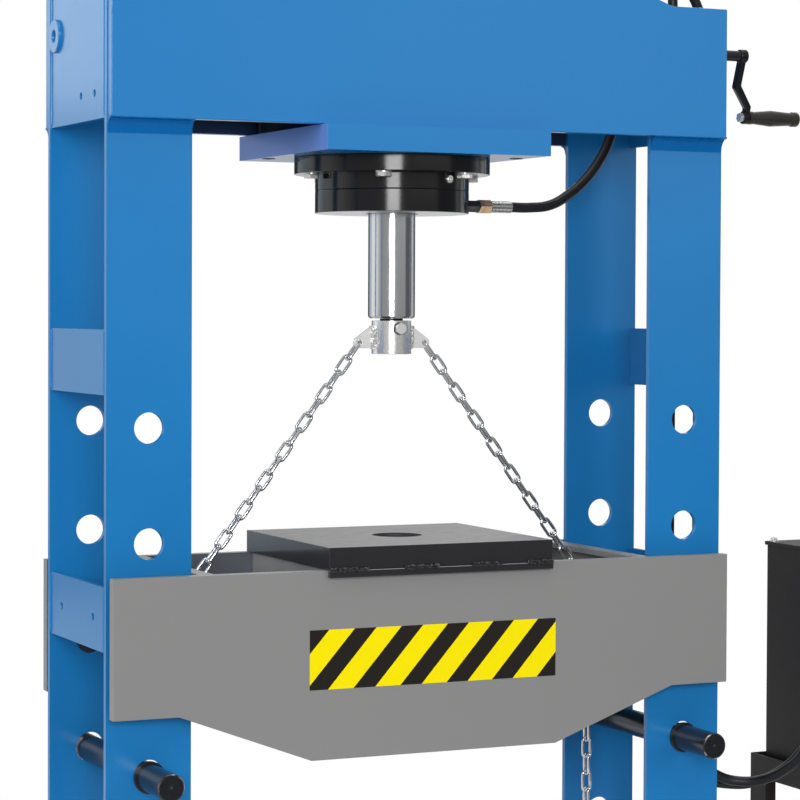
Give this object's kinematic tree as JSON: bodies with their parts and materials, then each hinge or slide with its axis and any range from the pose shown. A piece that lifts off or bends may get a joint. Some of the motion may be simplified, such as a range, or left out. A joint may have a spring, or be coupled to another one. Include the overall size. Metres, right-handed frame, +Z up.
{
  "type": "hydraulic press",
  "caption": "Floor-standing workshop press: blue portal frame, cylinder on a cranked carriage, grey bed hung from the ram on chains, and a black power unit beside it.",
  "frame": {"origin": "on the floor under the ram axis, at the middle of the anchor holes", "axes": "+Z up along the ram, +X to the power unit, front towards -Y"},
  "size_m": [1.963, 0.76, 2.166],
  "materials": {
    "blue_paint": "glossy blue paint",
    "grey_paint": "satin grey paint",
    "black_paint": "black paint",
    "bright_steel": "machined and zinc-plated steel",
    "chain_zinc": "bright zinc plating",
    "ram_chrome": "ground hard chrome",
    "nut_brass": "turned brass",
    "seal_rubber": "black rubber",
    "black_plastic": "black moulded plastic"
  },
  "bodies": {
    "frame": {"upright_front_left": "blue_paint", "upright_front_right": "blue_paint", "upright_rear_left": "blue_paint", "upright_rear_right": "blue_paint", "battens_left": "blue_paint", "battens_right": "blue_paint", "beam_front_plate": "blue_paint", "beam_rear_plate": "blue_paint", "beam_end_left": "blue_paint", "beam_end_right": "blue_paint", "beam_welds": "blue_paint", "foot_left": "blue_paint", "foot_right": "blue_paint", "carriage_rails": "blue_paint", "screw_boss_left": "blue_paint", "screw_boss_right": "blue_paint", "pin_left": "bright_steel", "pin_right": "bright_steel", "unit_stand": "black_paint", "tank": "black_paint", "tank_lid": "black_paint", "motor": "black_paint", "filler_cap": "black_plastic", "valve_block": "bright_steel", "gauge": "bright_steel", "hose_lower_run": "seal_rubber", "hose_upper_run": "seal_rubber"},
    "carriage": {"carriage_plate": "blue_paint", "hangers": "black_paint", "cylinder_barrel": "black_paint", "cylinder_gland": "black_paint", "rod_wiper": "seal_rubber", "cylinder_cap": "black_paint", "flange_bolts": "bright_steel", "nut_bracket": "blue_paint", "drive_nut": "nut_brass", "lower_fitting": "bright_steel", "upper_fitting": "bright_steel", "hose_lower_loop": "seal_rubber", "hose_upper_loop": "seal_rubber"},
    "ram": {"ram_rod": "ram_chrome", "piston": "bright_steel", "chain_collar": "chain_zinc", "collar_bolt": "bright_steel", "chain_left": "chain_zinc", "chain_right": "chain_zinc"},
    "bed": {"bed_front_plate": "grey_paint", "bed_rear_plate": "grey_paint", "bed_end_left": "grey_paint", "bed_end_right": "grey_paint", "bed_ribs": "grey_paint", "platen": "black_paint", "platen_strips": "black_paint", "chain_tail_left": "chain_zinc", "chain_tail_right": "chain_zinc"},
    "screw": {"lead_screw": "bright_steel", "crank_arm": "black_paint", "crank_bolt": "bright_steel"},
    "grip": {"grip": "black_plastic"},
    "lever": {"valve_lever": "black_plastic"}
  },
  "joints": [
    {"name": "carriage_slide", "type": "slide", "parent": "frame", "child": "carriage", "axis": [1, 0, 0], "range_m": [-0.1, 0.1], "deforming": ["chain_left", "chain_right", "hose_lower_loop", "hose_upper_loop"]},
    {"name": "screw_turn", "type": "hinge", "parent": "frame", "child": "screw", "pos_m": [0.66, -0.127, 1.916], "axis": [1, 0, 0], "range_deg": [-3602, 3602]},
    {"name": "grip_spin", "type": "hinge", "parent": "screw", "child": "grip", "pos_m": [0.8, -0.08425, 1.79854], "axis": [1, 0, 0], "continuous": true},
    {"name": "ram_slide", "type": "slide", "parent": "carriage", "child": "ram", "axis": [0, 0, 1], "range_m": [-0.083, 0.19]},
    {"name": "bed_shift", "type": "slide", "parent": "ram", "child": "bed", "axis": [1, 0, 0], "range_m": [-0.1005, 0.1005]},
    {"name": "lever_tilt", "type": "hinge", "parent": "frame", "child": "lever", "pos_m": [0.976, -0.287, 1.024], "axis": [1, 0, 0], "range_deg": [-15, 15], "stiffness_Nm_per_rad": 5}
  ],
  "couplings": [
    {"joint": "screw_turn", "follows": "carriage_slide", "rad_per_m": -628.32},
    {"joint": "bed_shift", "follows": "carriage_slide", "ratio": -1}
  ]
}
